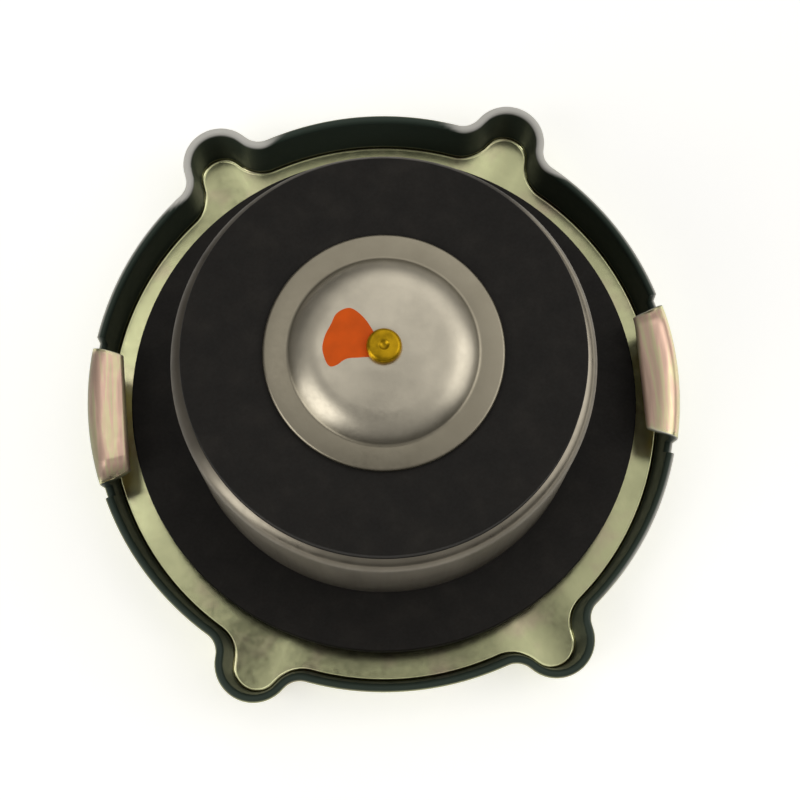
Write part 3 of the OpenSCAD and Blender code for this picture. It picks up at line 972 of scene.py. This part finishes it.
def patchy_finish(name, tone, millimetres, detail, shares, sheen, **inputs):
    """Material of one tone in darker and lighter patches of that size, whose roughness changes with them."""
    tree, shader, place = new_finish(name, **inputs)
    patch, tint = mottle(tree, place, millimetres, detail, tone, shares)
    rough = add(tree, "ShaderNodeMapRange", {"Value": patch, "To Min": sheen[0], "To Max": sheen[1]})
    connect(tree, shader, {"Base Color": tint, "Roughness": rough})


def from_axis(tree, place, limits, share):
    """Share that sets in between two distances from the axis of the cap."""
    flat = add(tree, "ShaderNodeVectorMath", {0: place, 1: (1.0, 1.0, 0.0)}, operation="MULTIPLY")
    radius = add(tree, "ShaderNodeVectorMath", {0: flat}, operation="LENGTH")
    return add(tree, "ShaderNodeMapRange", {
        "Value": radius, "From Min": limits[0], "From Max": limits[1], "To Max": share,
    }, interpolation_type="SMOOTHSTEP")


def yellow_passivated_zinc(colours):
    """Zinc plating with a yellow passivate: pale yellow-green metal with darker and pink blotches.

    A painted shade makes it dark and matt on the drawn wall, the cut edge and parts of the claws,
    and the passivate lies in straw and peach streaks on the rolled claws.
    The cut edge of the skirt has a painted highlight, a pale grey, in places.
    """
    tree, shader, place = new_finish("yellow_passivated_zinc", Specular_IOR_Level=0.15)
    painted_shade, claw, painted_highlight = (
        add(tree, "ShaderNodeAttribute", attribute_name=layer).outputs["Fac"] for layer in SHELL_LAYERS
    )
    coat = mottle(tree, place, 9, 3.0, colours.zinc, ((0.3, 0.82), (0.5, 1.0), (0.7, 1.12)))[1]
    pink = add(tree, "ShaderNodeTexNoise", {"Vector": place, "Scale": per(4), "Detail": 2.0})
    pink_share = add(tree, "ShaderNodeMapRange", {
        "Value": pink, "From Min": 0.52, "From Max": 0.75, "To Max": 0.4,
    })
    along = add(tree, "ShaderNodeMapping", {"Vector": place, "Scale": (1.0, 0.1, 0.4)})
    streak = add(tree, "ShaderNodeTexNoise", {"Vector": along, "Scale": per(1.2), "Detail": 3.0})
    rolled = add(tree, "ShaderNodeValToRGB", {"Fac": streak}, stops=[
        (0.34, shade(colours.peach, 0.8)), (0.45, colours.peach), (0.53, colours.straw),
        (0.62, colours.peach), (0.72, shade(colours.straw, 0.86)),
    ])
    # The painted shade and the painted highlight are mixed in over the plating as colours
    tints = (
        (pink_share, opaque(colours.blush)),
        (claw, rolled),
        (painted_shade, opaque(colours.painted_shade)),
        (painted_highlight, opaque(colours.edge)),
    )
    for share, tint in tints:
        coat = add(tree, "ShaderNodeMix", {MIX_FACTOR: share, MIX_A: coat, MIX_B: tint}, data_type="RGBA")
    matt = add(tree, "ShaderNodeMath", {0: claw, 1: 0.35, 2: painted_highlight}, operation="MULTIPLY_ADD")
    bare = add(tree, "ShaderNodeMapRange", {"Value": painted_shade, "To Min": 1.0, "To Max": 0.12})
    metal = add(tree, "ShaderNodeMath", {0: matt, 1: -0.7, 2: bare}, operation="MULTIPLY_ADD", use_clamp=True)
    grain = add(tree, "ShaderNodeTexNoise", {"Vector": place, "Scale": per(0.9), "Detail": 1.0})
    sheen = add(tree, "ShaderNodeMapRange", {"Value": grain, "To Min": 0.12, "To Max": 0.24})
    dulled = add(tree, "ShaderNodeMath", {0: matt, 1: 0.4, 2: sheen}, operation="MULTIPLY_ADD")
    rough = add(tree, "ShaderNodeMath", {0: painted_shade, 1: 0.25, 2: dulled}, operation="MULTIPLY_ADD")
    bump = add(tree, "ShaderNodeBump", {"Height": grain, "Strength": 0.2, "Distance": 0.01 * MM})
    connect(tree, shader, {"Base Color": coat, "Metallic": metal, "Roughness": rough, "Normal": bump})


def drawn_steel(colours):
    """Deep-drawn steel sheet: bright metal with faint draw lines, and painted shade, dark brown and matt, on
    its wall and one side.
    """
    tree, shader, place = new_finish("drawn_steel", Specular_IOR_Level=0.2)
    dark_shade, tint = mottle(tree, place, 7, 3.0, colours.steel, ((0.32, 0.82), (0.5, 1.0), (0.68, 1.15)))
    # Painted shade: the wall and outer lip, and the side toward -X and +Y in patches, turn dark brown, matt
    # and less metallic
    on_wall = from_axis(tree, place, SHADED_WALL, 0.45)
    side = add(tree, "ShaderNodeVectorMath", {0: place, 1: SHADED_SIDE}, operation="DOT_PRODUCT")
    patch = add(tree, "ShaderNodeMapRange", {
        "Value": dark_shade, "From Min": 0.3, "From Max": 0.7, "To Min": 0.7, "To Max": 0.95,
    })
    on_side = add(tree, "ShaderNodeMapRange", {
        "Value": side, "From Min": SIDE_SHADE_EDGE[0], "From Max": SIDE_SHADE_EDGE[1], "To Max": patch,
    }, interpolation_type="SMOOTHSTEP")
    shade_share = add(tree, "ShaderNodeMath", {0: on_wall, 1: on_side}, operation="MAXIMUM")
    shaded_tint = add(tree, "ShaderNodeMix", {
        MIX_FACTOR: shade_share, MIX_A: tint, MIX_B: opaque(colours.dark_shade),
    }, data_type="RGBA")
    drawn = add(tree, "ShaderNodeMapping", {"Vector": place, "Scale": (1.0, 1.0, 0.06)})
    lines = add(tree, "ShaderNodeTexNoise", {"Vector": drawn, "Scale": per(0.8), "Detail": 1.0})
    sheen = add(tree, "ShaderNodeMapRange", {"Value": lines, "To Min": 0.22, "To Max": 0.4})
    rough = add(tree, "ShaderNodeMath", {0: shade_share, 1: 0.3, 2: sheen}, operation="MULTIPLY_ADD")
    metal = add(tree, "ShaderNodeMapRange", {"Value": shade_share, "To Min": 1.0, "To Max": 0.3})
    connect(tree, shader, {"Base Color": shaded_tint, "Metallic": metal, "Roughness": rough})


def shaded_steel(colours):
    """Steel sheet painted dark brown-grey as the shade round the seal, with darker patches and little shine.
    """
    shares = ((0.35, 0.7), (0.65, 1.0))
    patchy_finish("shaded_steel", colours.dark_shade, 3, 3.0, shares, (0.5, 0.7), Metallic=0.6)


def satin_steel(colours):
    """Pressed steel disc with a satin face: warm grey, softly mottled and grained, with a tarnished rim."""
    tree, shader, place = new_finish("satin_steel", Metallic=1.0)
    tint = mottle(tree, place, 3, 4.0, colours.disc, ((0.3, 0.88), (0.5, 1.0), (0.7, 1.1)))[1]
    tarnished = add(tree, "ShaderNodeMix", {
        MIX_FACTOR: from_axis(tree, place, TARNISHED_RIM, 0.75), MIX_A: tint, MIX_B: opaque(colours.tarnish),
    }, data_type="RGBA")
    connect(tree, shader, {"Base Color": tarnished})
    fine_grain(tree, shader, place, 0.35, (0.26, 0.42), 0.3, 0.01 * MM)


def moulded_black_rubber(colours):
    """Moulded nitrile rubber: dull brown-black with a fine matt grain and dusty patches."""
    tree, shader, place = new_finish("moulded_black_rubber", Specular_IOR_Level=0.25)
    tint = mottle(tree, place, 2.5, 5.0, colours.rubber, ((0.35, 0.8), (0.55, 1.0), (0.75, 1.4)))[1]
    connect(tree, shader, {"Base Color": tint})
    fine_grain(tree, shader, place, 0.3, (0.6, 0.85), 0.5, 0.03 * MM)


def turned_brass(colours):
    """Turned brass that has dulled: olive yellow metal with darker stains and a soft shine."""
    shares = ((0.3, 0.6), (0.5, 1.0), (0.7, 1.25))
    patchy_finish("turned_brass", colours.brass, 1.2, 3.0, shares, (0.45, 0.3), Metallic=1.0)


def spring_wire(colours):
    """Hard-drawn spring wire: dark grey metal with lighter and darker patches."""
    shares = ((0.3, 0.62), (0.5, 1.0), (0.7, 1.4))
    patchy_finish("spring_wire", colours.wire, 0.8, 4.0, shares, (0.25, 0.45), Metallic=1.0)


def brushed_paint(colours):
    """Marking paint put on with a brush: even orange with a low gloss and slight unevenness."""
    shares = ((0.3, 0.93), (0.5, 1.0), (0.7, 1.08))
    patchy_finish("brushed_paint", colours.paint, 1.5, 2.0, shares, (0.6, 0.8), Specular_IOR_Level=0.15)


def build_finishes(settings):
    """Materials of all the pieces."""
    makers = (
        yellow_passivated_zinc, drawn_steel, shaded_steel, satin_steel, moulded_black_rubber, turned_brass,
        spring_wire, brushed_paint,
    )
    for make in makers:
        make(settings.colours)


# Stage

# Camera: azimuth and elevation in degrees, distance, and focal length and place of the axis in pixels
CAMERA_AZIMUTH = -4.6
CAMERA_ELEVATION = 77.95
CAMERA_DISTANCE = 220 * MM
FOCAL_PIXELS = 1968.0
AXIS_PIXEL = (383.9, 408.5)

# Floor: its size in metres and the strength of its own glow
FLOOR_SIZE = 3.0
FLOOR_GLOW = 0.52

# Brightness of the room by height, by nearness to its bright side and by distance from its dark place
ROOM_HEIGHTS = ((0.05, "#707070"), (0.3, "#909090"), (0.5, "#d8d8d8"), (0.62, "#ffffff"))
ROOM_SIDES = (
    (0.0, "#909090"), (0.3, "#9c9c9c"), (0.55, "#b3b3b3"),
    (0.66, "#cbcbcb"), (0.75, "#e7e7e7"), (0.9, "#ffffff"),
)
ROOM_SHADE = ((0.25, "#343434"), (0.42, "#8c8c8c"), (0.55, "#d4d4d4"), (0.7, "#ffffff"))
BRIGHT_SIDE = (0.55, 0.6, 0.58)
DARK_MIDDLE = (-0.01, -0.03, 0.0)
DARK_EXTENT = (0.14, 0.68)

# Soft lights: name, azimuth and elevation in degrees, distance, width and height in metres, and brightness
LIGHTS = (
    ("front_left", -66, 31, 0.5, 0.28, 0.48, 1.9),
    ("right", 86, 38, 0.5, 0.36, 0.36, 0.85),
    ("overhead", -140, 74, 0.51, 0.1, 0.1, 1.2),
)


def tones(stops):
    """Colour stops with their sRGB hex colours made linear."""
    return [(place, linear(code)) for place, code in stops]


def direction(azimuth, elevation):
    """Unit vector from the cap toward a place, by angles in degrees; azimuth 0 is on the side of -Y."""
    around = math.radians(azimuth)
    up = math.radians(elevation)
    flat = math.cos(up)
    return Vector((math.sin(around) * flat, -math.cos(around) * flat, math.sin(up)))


def aim(name, data, place):
    """Object of a camera or light at a place, turned toward the origin."""
    thing = in_scene(name, data)
    thing.location = place
    thing.rotation_euler = (-place).to_track_quat("-Z", "Y").to_euler()
    return thing


def soft_room():
    """World that lights the cap: brighter upward and to one side, and dark overhead, where the camera is."""
    world = bpy.data.worlds.new("soft_room")
    world.use_nodes = True
    tree = world.node_tree
    tree.nodes.clear()
    toward = add(tree, "ShaderNodeTexCoord").outputs["Generated"]
    upward = add(tree, "ShaderNodeSeparateXYZ", {0: toward}).outputs["Z"]
    nearness = add(tree, "ShaderNodeVectorMath", {0: toward, 1: BRIGHT_SIDE}, operation="DOT_PRODUCT")
    aside = add(tree, "ShaderNodeVectorMath", {0: toward, 1: DARK_MIDDLE}, operation="SUBTRACT")
    per_extent = (1 / DARK_EXTENT[0], 1 / DARK_EXTENT[1], 0.0)
    scaled = add(tree, "ShaderNodeVectorMath", {0: aside, 1: per_extent}, operation="MULTIPLY")
    farness = add(tree, "ShaderNodeVectorMath", {0: scaled}, operation="LENGTH")
    room = add(tree, "ShaderNodeValToRGB", {"Fac": upward}, stops=tones(ROOM_HEIGHTS))
    for share, stops in ((nearness, ROOM_SIDES), (farness, ROOM_SHADE)):
        dimming = add(tree, "ShaderNodeValToRGB", {"Fac": share}, stops=tones(stops))
        room = add(tree, "ShaderNodeMix", {
            MIX_FACTOR: 1.0, MIX_A: room, MIX_B: dimming,
        }, data_type="RGBA", blend_type="MULTIPLY")
    glow = add(tree, "ShaderNodeBackground", {"Color": room, "Strength": 1.0})
    add(tree, "ShaderNodeOutputWorld", {"Surface": glow})
    return world


def build_stage(settings):
    """Camera at the viewing angle of the photograph, soft lights and a plain pale floor."""
    scene = bpy.context.scene
    scene.view_settings.view_transform = "Standard"
    data = bpy.data.cameras.new("camera")
    data.sensor_width = SENSOR_WIDTH
    data.lens = FOCAL_PIXELS * SENSOR_WIDTH / IMAGE_SIZE
    data.shift_x = 0.5 - AXIS_PIXEL[0] / IMAGE_SIZE
    data.shift_y = AXIS_PIXEL[1] / IMAGE_SIZE - 0.5
    data.clip_start = CAMERA_DISTANCE / 100
    scene.camera = aim("camera", data, CAMERA_DISTANCE * direction(CAMERA_AZIMUTH, CAMERA_ELEVATION))

    for name, azimuth, elevation, distance, width, height, brightness in LIGHTS:
        lamp = bpy.data.lights.new(name, "AREA")
        lamp.shape = "RECTANGLE"
        lamp.size = width
        lamp.size_y = height
        lamp.energy = brightness * HALF_TURN * width * height
        aim(name, lamp, distance * direction(azimuth, elevation))

    scene.world = soft_room()

    half = FLOOR_SIZE / 2
    base = CAD_BOX[0].z
    corners = [(-half, -half, base), (half, -half, base), (half, half, base), (-half, half, base)]
    mesh = bpy.data.meshes.new("floor")
    mesh.from_pydata(corners, [], [(0, 1, 2, 3)])
    floor = in_scene("floor", mesh)
    pale = opaque(settings.colours.floor)
    new_finish("pale_card", Base_Color=pale, Roughness=0.9, Emission_Color=pale, Emission_Strength=FLOOR_GLOW)
    give_finish(floor, "pale_card")


# Add-on

class BuildFinishes(bpy.types.Operator):
    """Make the finishes of all the pieces"""

    bl_idname = "radiator_cap.finishes"
    bl_label = "Finishes"

    def execute(self, context):
        build_finishes(context.scene.radiator_cap)
        return {"FINISHED"}


class BuildShell(bpy.types.Operator):
    """Build the stamped shell and its rivet"""

    bl_idname = "radiator_cap.shell"
    bl_label = "Shell and rivet"

    def execute(self, context):
        build_shell(context.scene.radiator_cap)
        build_rivet(context.scene.radiator_cap)
        return {"FINISHED"}


class BuildCage(bpy.types.Operator):
    """Build the spring cage and the neck gasket"""

    bl_idname = "radiator_cap.cage"
    bl_label = "Cage and gasket"

    def execute(self, context):
        build_neck_seal(context.scene.radiator_cap)
        build_cage(context.scene.radiator_cap)
        return {"FINISHED"}


class BuildPressureValve(bpy.types.Operator):
    """Build the pressure seal"""

    bl_idname = "radiator_cap.pressure_valve"
    bl_label = "Pressure valve"

    def execute(self, context):
        build_pressure_valve(context.scene.radiator_cap)
        return {"FINISHED"}


class BuildVacuumValve(bpy.types.Operator):
    """Build the domed disc, its stem and the paint mark"""

    bl_idname = "radiator_cap.vacuum_valve"
    bl_label = "Vacuum valve"

    def execute(self, context):
        build_vacuum_valve(context.scene.radiator_cap)
        build_paint_mark(context.scene.radiator_cap)
        return {"FINISHED"}


class BuildSprings(bpy.types.Operator):
    """Build the two coil springs"""

    bl_idname = "radiator_cap.springs"
    bl_label = "Springs"

    def execute(self, context):
        build_springs(context.scene.radiator_cap)
        return {"FINISHED"}


class BuildStage(bpy.types.Operator):
    """Set up the camera, the lights and the floor"""

    bl_idname = "radiator_cap.stage"
    bl_label = "Stage"

    def execute(self, context):
        build_stage(context.scene.radiator_cap)
        return {"FINISHED"}


OPERATORS = (
    BuildFinishes, BuildShell, BuildCage, BuildPressureValve, BuildVacuumValve, BuildSprings, BuildStage,
)


class CapPanel(bpy.types.Panel):
    """Lists the steps that build the cap"""

    bl_idname = "VIEW3D_PT_radiator_cap"
    bl_label = "Radiator Cap"
    bl_space_type = "VIEW_3D"
    bl_region_type = "UI"
    bl_category = "Radiator Cap"

    def draw(self, context):
        for step in OPERATORS:
            self.layout.operator(step.bl_idname)


CLASSES = (ShellSizes, CageSizes, ValveSizes, CapColours, CapSettings, *OPERATORS, CapPanel)


def register():
    """Registers the classes and the settings of the scene."""
    for item in CLASSES:
        bpy.utils.register_class(item)
    bpy.types.Scene.radiator_cap = bpy.props.PointerProperty(type=CapSettings)


def unregister():
    """Takes the settings and the classes away again."""
    del bpy.types.Scene.radiator_cap
    for item in reversed(CLASSES):
        bpy.utils.unregister_class(item)


def main():
    """Builds the cap."""
    register()
    steps = bpy.ops.radiator_cap
    steps.finishes()
    steps.shell()
    steps.cage()
    steps.pressure_valve()
    steps.vacuum_valve()
    steps.springs()
    steps.stage()


if __name__ == "__main__":
    main()
